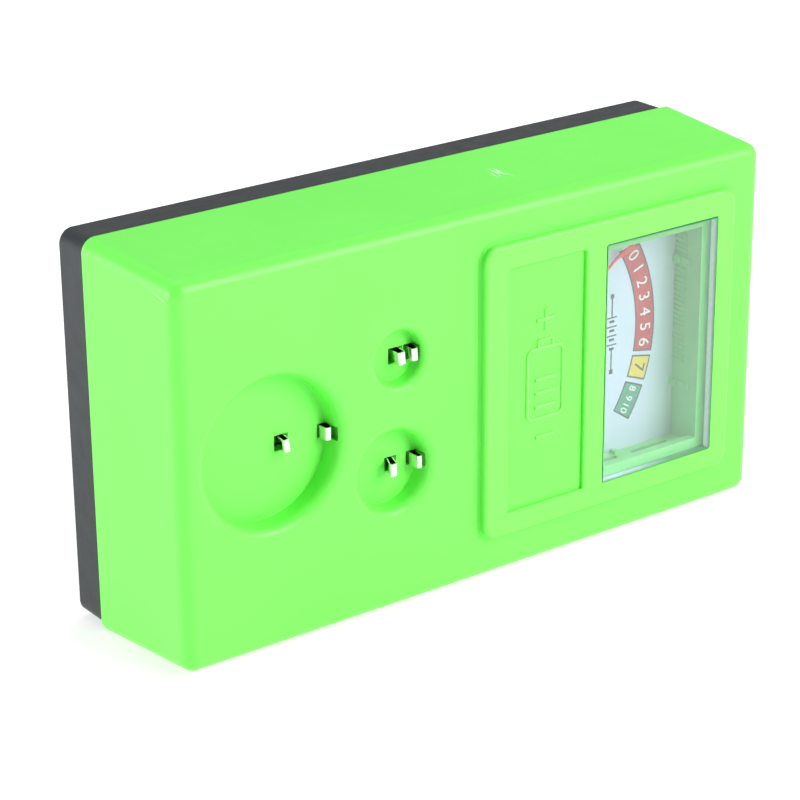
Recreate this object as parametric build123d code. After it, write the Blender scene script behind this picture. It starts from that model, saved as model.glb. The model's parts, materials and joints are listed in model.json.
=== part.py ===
from build123d import *
from collections import namedtuple
import math
import os

# Button-cell battery tester, standing on its long side with the meter face towards -Y.
# Every piece is drawn in case coordinates: x from the left end, y back from the flat front
# face, z up from the lower side. save() moves each piece into the part's own frame, whose
# origin is at the bottom centre of the whole object. Millimetres throughout.

# ---- driving dimensions -------------------------------------------------------------------
LENGTH = 110.0
HEIGHT = 60.7
SHELL_DEPTH = 21.4          # flat front face to the seam
COVER_DEPTH = 7.2           # seam to the back
CASE_DEPTH = SHELL_DEPTH + COVER_DEPTH
DRAFT = 1.3                 # each side of the shell leans in by this much from seam to front
CORNER_R = 2.2
FRONT_EDGE_R = 2.0
WALL = 2.0
COVER_INSET = 0.45          # the cover's outline is this much smaller than the shell's seam
SEAM_GROOVE_WIDTH = 0.3     # a groove round the cover, next to the seam
SEAM_GROOVE_DEPTH = 0.5

# bezel, label panel and window, all on the right-hand half of the face
BEZEL_RISE = 1.3
BEZEL = (53.2, 102.7, 7.6, 54.0)          # x0, x1, z0, z1
BEZEL_CORNER_R = 2.6
BEZEL_EDGE_R = 0.8
BEZEL_FOOT = 0.35                         # a low step all round the bezel
LABEL_PANEL = (57.75, 72.5, 11.3, 50.0)
LABEL_PANEL_DEPTH = 0.65
LABEL_PANEL_CORNER_R = 0.4
LABEL_PANEL_EDGE = 0.2                    # chamfer round the recess
WINDOW = (76.3, 98.9, 11.2, 50.0)
PANE_THICKNESS = 3.0
PANE_GAP = 0.1
LEDGE = 1.8                               # the pane rests on a ledge this wide
LEDGE_THICKNESS = 1.5
LEDGE_FRONT = PANE_THICKNESS - BEZEL_RISE
LEDGE_BACK = LEDGE_FRONT + LEDGE_THICKNESS
PANE_EDGE = 0.15                          # chamfer on the pane's front

# wells for the cells; rim is the radius of the soft edge at the face
Well = namedtuple("Well", "x z r depth rim")
WELLS = {
    "large": Well(16.9, 31.25, 11.2, 3.5, 1.7),
    "medium": Well(37.7, 23.1, 6.05, 3.0, 1.5),
    "small": Well(38.85, 40.3, 4.1, 2.3, 1.1),
}
WELL_FOOT_R = 0.12
WELL_DRAFT = 0.12
WELL_FLOOR = 1.5            # thickness of plastic under each floor
WELL_WALL = 0.9

# spring contacts: bent nickel strip that stands through a slot in a well's floor
STRIP = 0.2                 # thickness
STRIP_WIDTH = 1.9
SLOT_GAP = 0.12             # each side of a strip, more where the strip is turned
TURN_GAP = 0.12
SIDE_SLOT_TOP = 0.9         # a side contact's slot opens the well's wall up to this depth
ARM_Y = 5.45                # depth of the flat arms, middle of the strip
BEND_R = 0.3
TAB_LENGTH = 4.4
TAB_GAP = 0.15              # between a fixed tab and its moving strip
FOLDED_END = 0.8            # a strip's free end stops this far in front of the arms
STAKE_R = 0.7
STAKE_HEAD = 0.6
STAKE_HEAD_R = 1.15
STAKE_BOSS = 1.4            # half height of the boss under a tab
# legs: x of the left foot, crest's left, crest's right and right foot; slot: x0, x1;
# turn: degrees that the whole strip is turned about y through its crest
Contact = namedtuple("Contact", "z hinge legs crest_y slot turn")
CONTACTS = {
    "large_centre": Contact(31.15, 8.5, (20.0, 19.65, 20.7, 20.85), 1.75, (19.1, 21.5), -8),
    "large_side": Contact(31.15, 39.8, (26.82, 26.95, 27.85, 28.3), 1.7, (26.5, 28.9), 0),
    "medium_centre": Contact(23.1, 25.5, (38.4, 37.25, 38.4, 39.3), 0.45, (37.95, 40.1), 0),
    "medium_side": Contact(23.1, 51.5, (42.3, 42.38, 43.1, 43.45), 0.6, (41.85, 44.4), 0),
    "small_centre": Contact(40.1, 27.0, (38.9, 38.95, 40.1, 40.25), 0.45, (38.3, 40.85), -6),
    "small_side": Contact(40.1, 51.0, (41.55, 41.45, 42.45, 42.75), 0.6, (41.0, 43.5), -4),
}

# meter movement
PIVOT = (65.2, 32.25)
DIAL_Y = 7.4
DIAL_THICKNESS = 0.8
DIAL = (57.2, 98.1, 10.8, 50.5)
DIAL_HOLE_R = 3.0
DIAL_SCREWS = [(60.0, PIVOT[1] - 16.5), (60.0, PIVOT[1] + 16.5)]
TUNNEL_WALL = 1.2
TUNNEL = (77.0, 97.1, 11.84, 49.5)        # inside faces of the walls between ledge and dial
TUNNEL_SLOTS = [(79.0, 84.1), (87.0, 94.6)]       # openings in the lower wall, x0 and x1
TUNNEL_SLOT_Y = (4.1, 6.0)
TUNNEL_SLOT_LIP = 0.4                     # the wall is this thin around its openings
TUNNEL_SLOT_RELIEF = 0.9                  # behind each opening, on the wall's underside
DIAL_STOP_Y = 6.2                         # small stops on the walls that press on the dial
SIDE_STOPS_Z = (21.1, 41.7)
LOWER_STOP_X = (84.3, 85.2)
RIBS_Z = (25.0, 48.2)                     # fine ribs on the right wall, next to the dial
RIB_PITCH = 0.8
RIB_WIDTH = 0.4
RIB_HEIGHT = 0.25
RIB_FRONT_Y = 4.9
POINTER_REST = 33.0                       # degrees up from +x
POINTER_SWEEP = 70.0
POINTER_TIP_R = 25.7
POINTER_HUB_Y = (5.6, 6.8)
ARM_HALF_WIDTH = 0.4                      # tail and cross arms of the pointer
POINTER_ARM_Y = (6.0, 6.3)
TAIL_REACH = 7.0
CROSS_REACH = 4.6
# along the pointer, across it, radius and height of each balance weight
BALANCE_WEIGHTS = [(-5.9, 0.0, 1.34, 1.3), (0.0, -3.9, 0.7, 1.0), (0.0, 3.9, 0.7, 1.0)]
STOP_RADIUS = 12.0                        # the stops' distance from the pivot
STOP_R = 0.5
STOP_CLEARANCE = 0.15
POINTER_HALF_AT_STOP = 0.35               # half the pointer's width there
RING_INNER_R = 10.4
RING_OUTER_R = 14.6
RING_Y = (10.2, 18.2)
FRAME_OUTER_R = 16.4
FRAME_BACK = 22.5
FRAME_BACK_PLATE = 1.5
FLANGE = (47.5, 76.5, 4.5, 56.5)
FLANGE_THICKNESS = 1.8
FLANGE_Y = DIAL_Y + DIAL_THICKNESS
CORE_R = 7.0
CORE_Y = (10.4, 17.4)
COIL_HALF_WIDTH = 8.4                     # outside of the former, half
COIL_Y = (9.4, 18.4)
FORMER_WALL = 0.5
FORMER_HALF_THICK = 2.2
WINDING = 0.85
WINDING_HALF_THICK = 1.8
STAFF_R = 0.7
PIVOT_TIP_R = 0.35
JEWEL_BORE_R = 0.40
JEWEL_R = 1.5
BRIDGE_Y = (3.0, 4.0)
BRIDGE_REACH = 16.5                       # bridge posts above and below the pivot
BRIDGE_HALF_WIDTH = 2.5
BRIDGE_POST_R = 1.5
FRONT_JEWEL_Y = (2.3, 4.8)
REAR_JEWEL_Y = (20.2, 23.7)
PIVOT_TIP_Y = (4.0, 21.0)
SCREW_SLOT = 0.4                          # depth and width of the small slots
FRONT_SPRING_Y = (4.95, 5.35)
REAR_SPRING_Y = (19.45, 19.85)
SPRING_INNER_R = 1.1
SPRING_HALF_THICK = 0.06
SPRING_TURNS = 3.5
ZERO_ARM_Y = (4.0, 4.4)
ZERO_ARM_DEGREES = 120.0
ZERO_PIN_R = 4.26
REAR_ANCHOR = (3.9, 200.0)                # the rear spring's post: distance, degrees
ANCHOR_R = 0.5
TERMINAL_X = (PIVOT[0] - 9.0, PIVOT[0] + 9.0)
STUD_R = 1.0
STUD_HEAD_R = 1.7
STUD_HEAD = 0.7
STUD_BACK = 25.6
NUT_R = 2.2                               # across the corners, half
NUT_Y = (FRAME_BACK + 0.4, FRAME_BACK + 1.9)
LUG_Y = (FRAME_BACK, FRAME_BACK + 0.4)
LUG_R = 2.4
LUG_REACH = 6.5

# circuit board behind the wells
BOARD = (10.5, 44.5, 6.5, 54.5)
BOARD_Y = 10.0
BOARD_THICKNESS = 1.6

# posts inside the case and their screws
BOARD_POSTS = [(x, z) for x in (13.5, 41.0) for z in (9.5, 51.5)]
BOARD_POST_R = 2.2
FRAME_POSTS = [(x, z) for x in (51.0, 73.5) for z in (8.0, 53.0)]
FRAME_POST_R = 2.5
CASE_POSTS = [(x, z) for x in (6.5, 103.5) for z in (6.5, 54.2)]
CASE_POST_R = 3.2
CASE_SCREW_R = 1.4
CASE_SCREW_LENGTH = 14.0
CASE_HEAD_R = 2.7
CASE_HEAD = 1.9
SINK_R = 3.0                # the sunk holes for the case screws' heads
SINK_DEPTH = 3.4
BORE_FRONT = 7.8            # the case screws' bores start this deep
SMALL_SCREW_R = 0.9
SMALL_HEAD = 0.8
SMALL_HEAD_R = 1.6
PAN_HEAD_R = 1.9
PAN_HEAD = 1.2
LIP_CLEARANCE = 0.25        # between the cover's lip and the shell's wall
LIP_THICKNESS = 1.2
LIP_REACH = 1.4

# leads and board parts
WIRE_R = 0.45
LEAD_INSET = 0.55           # a lead is soldered this far from the free end of its tab
LEAD_Y = 7.1                # leads that cross run at this depth
# where a lead meets the board, for those that don't run straight back
CROSSING_LEADS = {
    "large_centre": (12.6, 31.15),
    "medium_side": (43.2, 25.6),
    "small_side": (43.2, 37.6),
}
METER_LANDS = [(43.0, 20.0), (43.0, 15.0)]
RESISTORS = [(20.0, 12.0), (20.0, 17.5), (20.0, 48.0)]
RESISTOR_LIFT = 1.4         # from the board to the middle of a resistor
RESISTOR_R = 1.15
RESISTOR_LENGTH = 6.4
RESISTOR_SPAN = 4.8         # from its middle to each leg
TRIMMER = (31.5, 46.5)
TRIMMER_HALF = 3.3
TRIMMER_HEIGHT = 3.4

MIDDLE_DEPTH = (CASE_DEPTH - BEZEL_RISE) / 2


# ---- helpers ------------------------------------------------------------------------------
def block(x0, x1, y0, y1, z0, z1):
    """A plain box between two corners."""
    return Pos((x0 + x1) / 2, (y0 + y1) / 2, (z0 + z1) / 2) * Box(x1 - x0, y1 - y0, z1 - z0)


def rod(x, z, r, y0, y1):
    """A cylinder along y."""
    return Pos(x, (y0 + y1) / 2, z) * (Rot(90, 0, 0) * Cylinder(r, y1 - y0))


def face_plane(y):
    """A plane facing the back, drawn in (x, z)."""
    return Plane(origin=(0, y, 0), x_dir=(1, 0, 0), z_dir=(0, -1, 0))


def rounded(x0, x1, z0, z1, r, y):
    """A rounded rectangle lying in the plane at depth y."""
    sketch = Pos((x0 + x1) / 2, (z0 + z1) / 2) * RectangleRounded(x1 - x0, z1 - z0, r)
    return face_plane(y) * sketch


def slab(x0, x1, z0, z1, r, y0, y1):
    """A rounded plate between two depths."""
    return extrude(rounded(x0, x1, z0, z1, r, y1), amount=y1 - y0)


def polar(r, degrees):
    """A point about the pivot in case coordinates."""
    a = math.radians(degrees)
    return PIVOT[0] + r * math.cos(a), PIVOT[1] + r * math.sin(a)


def about_pivot(shape, degrees):
    """Turns a shape drawn along +x of the pivot by an angle that counts up from +x."""
    turn = Pos(PIVOT[0], 0, PIVOT[1]) * Rot(0, -degrees, 0)
    return turn * shape


def drafted(shrink, y0, y1, r):
    """The case outline between two depths, shrunk all round, with the shell's draft."""
    ends = []
    for y in (y0, y1):
        lean = DRAFT * (1 - y / SHELL_DEPTH) + shrink
        ends.append(rounded(lean, LENGTH - lean, lean, HEIGHT - lean, r, y))
    return loft(ends, ruled=True)


def strip(points, z, bend_r=BEND_R):
    """Flat strip metal that follows points (x, y), centred on height z."""
    path = FilletPolyline(*points, radius=bend_r) if len(points) > 2 else Line(*points)
    profile = trace(path, STRIP)
    return Pos(0, 0, z - STRIP_WIDTH / 2) * extrude(profile, amount=STRIP_WIDTH)


def wire(points, radii):
    """A round lead that follows points (x, y, z) with a bend at each corner."""
    path = FilletPolyline(*points, radius=radii) if len(points) > 2 else Line(*points)
    start = Plane(origin=path @ 0, z_dir=path % 0)
    return sweep(start * Circle(WIRE_R), path=path)


def pan_screw(x, z, shank_r, head_r, head_h, y_head, length, cross):
    """A cross-head screw that goes in from the back; y_head is the seat under its head."""
    head = rod(x, z, head_r, y_head, y_head + head_h)
    head = chamfer(head.edges().group_by(Axis.Y)[-1], head_h * 0.3)
    slots = block(x - cross, x + cross, y_head + head_h * 0.4, y_head + 2 * head_h,
                  z - cross * 0.22, z + cross * 0.22)
    slots += block(x - cross * 0.22, x + cross * 0.22, y_head + head_h * 0.4,
                   y_head + 2 * head_h, z - cross, z + cross)
    return head - slots + rod(x, z, shank_r, y_head - length, y_head)


# ---- case ---------------------------------------------------------------------------------
def well_cutter(x, z, r, depth, rim):
    """The space of one well: soft rim, slightly tapered wall, soft foot, flat floor."""
    foot = r - WELL_DRAFT
    rim_mid = math.sqrt(0.5) * rim
    foot_mid = (1 - math.sqrt(0.5)) * WELL_FOOT_R
    with BuildSketch(Plane.XY) as half:
        with BuildLine():
            Polyline((0, depth), (0, -1), (r + rim, -1), (r + rim, 0))
            ThreePointArc((r + rim, 0), (r + rim - rim_mid, rim - rim_mid), (r, rim))
            Line((r, rim), (foot, depth - WELL_FOOT_R))
            ThreePointArc((foot, depth - WELL_FOOT_R), (foot - foot_mid, depth - foot_mid),
                          (foot - WELL_FOOT_R, depth))
            Line((foot - WELL_FOOT_R, depth), (0, depth))
        make_face()
    return Pos(x, 0, z) * revolve(half.sketch, Axis.Y)


def contact_slot(name):
    """The slot through a well's floor, and through its wall for a side contact."""
    c = CONTACTS[name]
    half = STRIP_WIDTH / 2 + SLOT_GAP + (TURN_GAP if c.turn else 0)
    top = SIDE_SLOT_TOP if name.endswith("side") else 0.0
    return block(*c.slot, top, ARM_Y + STRIP, c.z - half, c.z + half)


def hinge_side(name):
    """-1 where the strip is anchored to the left of its well, +1 to the right."""
    return 1 if name.endswith("side") else -1


def turned(name, shape):
    """Turns a shape about the line along y through a contact's crest."""
    c = CONTACTS[name]
    crest_x = (c.legs[1] + c.legs[2]) / 2
    return Pos(crest_x, 0, c.z) * Rot(0, c.turn, 0) * Pos(-crest_x, 0, -c.z) * shape


def tab_span(name):
    """x0, x1 of the fixed tab, from its hinge outwards."""
    hinge = CONTACTS[name].hinge
    side = hinge_side(name)
    ends = (hinge + side * TAB_GAP, hinge + side * (TAB_GAP + TAB_LENGTH))
    return min(ends), max(ends)


def stake(name):
    """A moulded boss with a pin and a melted head that holds a fixed tab."""
    x0, x1 = tab_span(name)
    x, z = (x0 + x1) / 2, CONTACTS[name].z
    front, back = ARM_Y - STRIP / 2, ARM_Y + STRIP / 2
    boss = block(x0 + 0.5, x1 - 0.1, WALL - 0.5, front, z - STAKE_BOSS, z + STAKE_BOSS)
    pin = rod(x, z, STAKE_R, front - 0.5, back + 0.1)
    head = rod(x, z, STAKE_HEAD_R, back, back + STAKE_HEAD)
    head = fillet(head.edges().group_by(Axis.Y)[-1], 0.35)
    return turned(name, boss + pin + head)


def window_tunnel():
    """The walls between the pane's ledge and the dial, open on the side of the pivot."""
    x0, x1, z0, z1 = TUNNEL
    t = TUNNEL_WALL
    walls = block(x0, x1 + t, WALL - 0.5, DIAL_Y, z0 - t, z1 + t)
    walls -= block(x0 - 1, x1, LEDGE_BACK, DIAL_Y + 1, z0, z1)
    for slot in TUNNEL_SLOTS:
        walls -= block(*slot, *TUNNEL_SLOT_Y, z0 - t - 1, z0 + 0.1)
        walls -= block(*slot, TUNNEL_SLOT_Y[0], TUNNEL_SLOT_Y[1] + TUNNEL_SLOT_RELIEF,
                       z0 - t - 1, z0 - TUNNEL_SLOT_LIP)
    for z in SIDE_STOPS_Z:
        walls += block(x1 - 0.3, x1 + 0.2, LEDGE_BACK, DIAL_Y, z - 0.5, z + 0.5)
        walls += block(x1 - 0.8, x1 + 0.2, DIAL_STOP_Y, DIAL_Y, z - 0.5, z + 0.5)
    walls += block(*LOWER_STOP_X, DIAL_STOP_Y, DIAL_Y, z0 - 0.2, z0 + 0.6)
    count = int((RIBS_Z[1] - RIBS_Z[0]) / RIB_PITCH)
    for k in range(count + 1):
        z = RIBS_Z[0] + k * RIB_PITCH
        walls += block(x1 - RIB_HEIGHT, x1 + 0.1, RIB_FRONT_Y, DIAL_Y,
                       z - RIB_WIDTH / 2, z + RIB_WIDTH / 2)
    return walls


def label_recess():
    """The shallow space of the label panel, chamfered round its front."""
    x0, x1, z0, z1 = LABEL_PANEL
    e = LABEL_PANEL_EDGE
    r = LABEL_PANEL_CORNER_R
    rim = slab(x0 - e, x1 + e, z0 - e, z1 + e, r + e, -BEZEL_RISE - 1, -BEZEL_RISE + e)
    rim = chamfer(rim.faces().sort_by(Axis.Y)[-1].edges(), e)
    return rim + slab(*LABEL_PANEL, r, -BEZEL_RISE - 1, LABEL_PANEL_DEPTH - BEZEL_RISE)


def front_shell():
    """The green front half: face, sides, bezel, wells, bosses and the window's ledge."""
    outer = drafted(0, 0, SHELL_DEPTH, CORNER_R)
    outer = fillet(outer.faces().sort_by(Axis.Y)[0].edges(), FRONT_EDGE_R)
    bezel = slab(*BEZEL, BEZEL_CORNER_R, -BEZEL_RISE, 1.0)
    bezel = fillet(bezel.faces().sort_by(Axis.Y)[0].edges(), BEZEL_EDGE_R)
    f = BEZEL_FOOT
    foot = slab(BEZEL[0] - f, BEZEL[1] + f, BEZEL[2] - f, BEZEL[3] + f, BEZEL_CORNER_R + f, -f, 1.0)
    foot = chamfer(foot.faces().sort_by(Axis.Y)[0].edges(), f - 0.01)
    body = outer + bezel + foot
    body -= drafted(WALL, WALL, SHELL_DEPTH + 0.01, 1.0)
    for well in WELLS.values():
        body += rod(well.x, well.z, well.r + WELL_WALL, WALL - 0.5, well.depth + WELL_FLOOR)
    body += block(WINDOW[0] - 1.2, WINDOW[1] + 1.2, WALL - 0.5, LEDGE_BACK,
                  WINDOW[2] - 1.2, WINDOW[3] + 1.2)
    body += window_tunnel()
    for x, z in CASE_POSTS:
        post = rod(x, z, CASE_POST_R, WALL - 0.5, SHELL_DEPTH)
        body += post & drafted(0.5, WALL - 0.6, SHELL_DEPTH, 1.5)
    for x, z in BOARD_POSTS:
        body += rod(x, z, BOARD_POST_R, WALL - 0.5, BOARD_Y)
    for x, z in FRAME_POSTS:
        body += rod(x, z, FRAME_POST_R, WALL - 0.5, FLANGE_Y)
    for name in CONTACTS:
        body += stake(name)
    for well in WELLS.values():
        body -= well_cutter(*well)
    for name in CONTACTS:
        body -= contact_slot(name)
    body -= label_recess()
    body -= slab(*WINDOW, 0.4, -BEZEL_RISE - 1, LEDGE_FRONT)
    x0, x1, z0, z1 = WINDOW
    body -= block(x0 + LEDGE, x1 - LEDGE, 0, LEDGE_BACK + 0.5, z0 + LEDGE, z1 - LEDGE)
    for x, z in CASE_POSTS:
        body -= rod(x, z, CASE_SCREW_R, BORE_FRONT, SHELL_DEPTH + 1)
    for x, z in BOARD_POSTS:
        body -= rod(x, z, SMALL_SCREW_R, 5.0, BOARD_Y + 1)
    for x, z in FRAME_POSTS:
        body -= rod(x, z, SMALL_SCREW_R, 3.5, FLANGE_Y + 1)
    return body


def rear_cover():
    """The dark grey back half, with a locating lip and four sunk screw holes."""
    edge = COVER_INSET
    body = slab(edge, LENGTH - edge, edge, HEIGHT - edge, CORNER_R, SHELL_DEPTH, CASE_DEPTH)
    body = chamfer(body.faces().sort_by(Axis.Y)[-1].edges(), 0.3)
    w = edge + SEAM_GROOVE_DEPTH
    groove = block(0, LENGTH, SHELL_DEPTH - 1, SHELL_DEPTH + SEAM_GROOVE_WIDTH, 0, HEIGHT)
    body -= groove - slab(w, LENGTH - w, w, HEIGHT - w, CORNER_R - SEAM_GROOVE_DEPTH,
                          SHELL_DEPTH - 2, CASE_DEPTH)
    w = edge + WALL
    body -= slab(w, LENGTH - w, w, HEIGHT - w, 1.2, SHELL_DEPTH - 0.01, CASE_DEPTH - WALL)
    lip = WALL + LIP_CLEARANCE
    rim = slab(lip, LENGTH - lip, lip, HEIGHT - lip, 1.0, SHELL_DEPTH - LIP_REACH, SHELL_DEPTH + 1)
    w = lip + LIP_THICKNESS
    rim -= slab(w, LENGTH - w, w, HEIGHT - w, 0.8, SHELL_DEPTH - 2, SHELL_DEPTH + 2)
    for x, z in CASE_POSTS:
        rim -= rod(x, z, CASE_POST_R + 0.3, SHELL_DEPTH - 2, SHELL_DEPTH)
    body += rim
    for x, z in CASE_POSTS:
        body += rod(x, z, CASE_POST_R + 0.8, SHELL_DEPTH, CASE_DEPTH - 1)
    for x, z in CASE_POSTS:
        body -= rod(x, z, CASE_SCREW_R + 0.3, SHELL_DEPTH - 1, CASE_DEPTH + 1)
        body -= rod(x, z, SINK_R, CASE_DEPTH - SINK_DEPTH, CASE_DEPTH + 1)
    return body


def case_screws():
    return [pan_screw(x, z, CASE_SCREW_R, CASE_HEAD_R, CASE_HEAD, CASE_DEPTH - SINK_DEPTH,
                      CASE_SCREW_LENGTH, 1.5) for x, z in CASE_POSTS]


def window_pane():
    """Clear acrylic plate, glued on its ledge flush with the bezel."""
    x0, x1, z0, z1 = WINDOW
    g = PANE_GAP
    pane = slab(x0 + g, x1 - g, z0 + g, z1 - g, 0.35, -BEZEL_RISE, LEDGE_FRONT)
    return chamfer(pane.faces().sort_by(Axis.Y)[0].edges(), PANE_EDGE)


# ---- spring contacts ----------------------------------------------------------------------
def contact(name):
    """One moving strip: flat arm, steep leg up through the slot, narrow crest, folded end."""
    c = CONTACTS[name]
    foot_l, crest_l, crest_r, foot_r = c.legs
    floor = WELLS[name.split("_")[0]].depth
    crest = c.crest_y + STRIP / 2
    bridge = [(foot_l, floor), (crest_l, crest), (crest_r, crest), (foot_r, floor)]
    free_end = ARM_Y - FOLDED_END
    if hinge_side(name) < 0:
        points = [(c.hinge, ARM_Y), (foot_l, ARM_Y), *bridge, (foot_r, free_end)]
    else:
        points = [(foot_l, free_end), *bridge, (foot_r, ARM_Y), (c.hinge, ARM_Y)]
    return turned(name, strip(points, c.z))


def contact_tabs():
    """The six fixed ends, each staked to its boss."""
    tabs = []
    for name in CONTACTS:
        x0, x1 = tab_span(name)
        z = CONTACTS[name].z
        tab = strip([(x0, ARM_Y), (x1, ARM_Y)], z)
        tab -= rod((x0 + x1) / 2, z, STAKE_R, 0, ARM_Y + 5)
        tabs.append(turned(name, tab))
    return tabs


# ---- meter movement -----------------------------------------------------------------------
def dial_plate():
    """White printed aluminium plate behind the window, with holes for staff and posts."""
    plate = slab(*DIAL, 0.5, DIAL_Y, DIAL_Y + DIAL_THICKNESS)
    plate -= rod(*PIVOT, DIAL_HOLE_R, 0, 12)
    for side in (-1, 1):
        plate -= rod(PIVOT[0], PIVOT[1] + side * BRIDGE_REACH, BRIDGE_POST_R + 0.1, 0, 12)
    for x, z in DIAL_SCREWS:
        plate -= rod(x, z, SMALL_SCREW_R + 0.1, 0, 12)
    for a in pointer_stop_angles():
        plate -= rod(*polar(STOP_RADIUS, a), STOP_R, 0, 12)
    return plate


def pointer_stop_angles():
    """The stops stand just clear of the pointer's edge at both ends of its sweep."""
    reach = STOP_R + POINTER_HALF_AT_STOP + STOP_CLEARANCE
    clear = math.degrees(math.asin(reach / STOP_RADIUS))
    return POINTER_REST + clear, POINTER_REST - POINTER_SWEEP - clear


def pointer_stops():
    return [rod(*polar(STOP_RADIUS, a), STOP_R, 5.2, DIAL_Y + DIAL_THICKNESS)
            for a in pointer_stop_angles()]


def driver_slot(x, z, y0, y1):
    """The cutter for a straight slot across a small screw's head."""
    return block(x - 2, x + 2, y0, y1, z - SCREW_SLOT / 2, z + SCREW_SLOT / 2)


def front_screw(x, z, y_seat, length):
    """A small slotted screw that goes in from the front."""
    top = y_seat - SMALL_HEAD
    head = rod(x, z, SMALL_HEAD_R, top, y_seat) - driver_slot(x, z, top, top + SCREW_SLOT)
    return head + rod(x, z, SMALL_SCREW_R, y_seat, y_seat + length)


def dial_screws():
    return [front_screw(x, z, DIAL_Y, 2.2) for x, z in DIAL_SCREWS]


def movement_frame():
    """Black moulded body of the meter: flange, cup for the yoke ring and back plate."""
    frame = slab(*FLANGE, 2.0, FLANGE_Y, FLANGE_Y + FLANGE_THICKNESS)
    frame += rod(*PIVOT, FRAME_OUTER_R, FLANGE_Y, FRAME_BACK)
    frame -= rod(*PIVOT, RING_OUTER_R, FLANGE_Y - 1, RING_Y[1])
    frame -= rod(*PIVOT, RING_OUTER_R - 1.6, RING_Y[1] - 1, FRAME_BACK - FRAME_BACK_PLATE)
    frame += rod(*polar(*REAR_ANCHOR), ANCHOR_R, REAR_SPRING_Y[0] - 0.15, FRAME_BACK - 1)
    frame -= rod(*PIVOT, JEWEL_R, 0, FRAME_BACK + 1)
    for x, z in FRAME_POSTS:
        frame -= rod(x, z, SMALL_SCREW_R + 0.2, 0, FRAME_BACK)
    for x, z in DIAL_SCREWS:
        frame -= rod(x, z, SMALL_SCREW_R, 0, FLANGE_Y + 1.4)
    for x in TERMINAL_X:
        frame -= rod(x, PIVOT[1], STUD_R, RING_Y[1], FRAME_BACK + 1)
    for side in (-1, 1):
        frame -= rod(PIVOT[0], PIVOT[1] + side * BRIDGE_REACH, SMALL_SCREW_R, 0, FLANGE_Y + 1.6)
    return frame


def frame_screws():
    y = FLANGE_Y + FLANGE_THICKNESS
    return [pan_screw(x, z, SMALL_SCREW_R, PAN_HEAD_R, PAN_HEAD, y, 6.0, 1.0)
            for x, z in FRAME_POSTS]


def yoke_ring():
    return rod(*PIVOT, RING_OUTER_R, *RING_Y) - rod(*PIVOT, RING_INNER_R, 0, 30)


def core_magnet():
    return chamfer(rod(*PIVOT, CORE_R, *CORE_Y).edges(), 0.3)


def core_supports():
    """Two brass blocks that hold the core inside the ring, clear of the coil's sweep."""
    y0, y1 = CORE_Y[0] + 0.4, CORE_Y[1] - 0.4
    blocks = []
    for side in (-1, 1):
        z0 = PIVOT[1] + side * (CORE_R - 1)
        z1 = PIVOT[1] + side * (RING_INNER_R + 1)
        piece = block(PIVOT[0] - 2.6, PIVOT[0] + 2.6, y0, y1, min(z0, z1), max(z0, z1))
        piece &= rod(*PIVOT, RING_INNER_R, 0, 30)
        blocks.append(piece - rod(*PIVOT, CORE_R, 0, 30))
    return blocks


def front_bridge():
    """Brass strip across the front of the movement that carries the front bearing."""
    x, z = PIVOT
    w = BRIDGE_HALF_WIDTH
    reach = BRIDGE_REACH + w
    bridge = slab(x - w, x + w, z - reach, z + reach, w - 0.1, *BRIDGE_Y)
    bridge -= rod(x, z, JEWEL_R, 0, 10)
    for side in (-1, 1):
        bridge -= rod(x, z + side * BRIDGE_REACH, SMALL_SCREW_R, 0, 10)
    return bridge


def bridge_posts():
    posts = []
    for side in (-1, 1):
        z = PIVOT[1] + side * BRIDGE_REACH
        post = rod(PIVOT[0], z, BRIDGE_POST_R, BRIDGE_Y[1], FLANGE_Y)
        posts.append(post - rod(PIVOT[0], z, SMALL_SCREW_R, 0, 20))
    return posts


def bridge_screws():
    return [front_screw(PIVOT[0], PIVOT[1] + side * BRIDGE_REACH, BRIDGE_Y[0],
                        FLANGE_Y + 1.4 - BRIDGE_Y[0]) for side in (-1, 1)]


def front_jewel_screw():
    """Slotted bush with the cup for the front pivot."""
    y0, y1 = FRONT_JEWEL_Y
    bush = rod(*PIVOT, JEWEL_R, y0, y1)
    bush -= rod(*PIVOT, JEWEL_BORE_R, PIVOT_TIP_Y[0] - 0.1, y1 + 1)
    return bush - driver_slot(*PIVOT, y0, y0 + SCREW_SLOT)


def rear_jewel_screw():
    """The same for the rear pivot."""
    y0, y1 = REAR_JEWEL_Y
    bush = rod(*PIVOT, JEWEL_R, y0, y1)
    bush -= rod(*PIVOT, JEWEL_BORE_R, y0 - 1, PIVOT_TIP_Y[1] + 0.1)
    return bush - driver_slot(*PIVOT, y1 - SCREW_SLOT, y1)


def coil_middle(half_u, y0, y1, half_v):
    """A box about the pivot, its long side towards the coil's angle at rest."""
    piece = block(-half_u, half_u, y0, y1, -half_v, half_v)
    return about_pivot(piece, POINTER_SWEEP / 2)


def coil_former():
    y0, y1 = COIL_Y
    w = FORMER_WALL
    former = coil_middle(COIL_HALF_WIDTH, y0, y1, FORMER_HALF_THICK)
    return former - coil_middle(COIL_HALF_WIDTH - w, y0 + w, y1 - w, FORMER_HALF_THICK + 1)


def moving_coil():
    """The copper winding around the former."""
    y0, y1 = COIL_Y
    w = WINDING
    winding = coil_middle(COIL_HALF_WIDTH + w, y0 - w, y1 + w, WINDING_HALF_THICK)
    winding -= coil_middle(COIL_HALF_WIDTH, y0, y1, WINDING_HALF_THICK + 1)
    return winding - rod(*PIVOT, STAFF_R, 0, 30)


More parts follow.
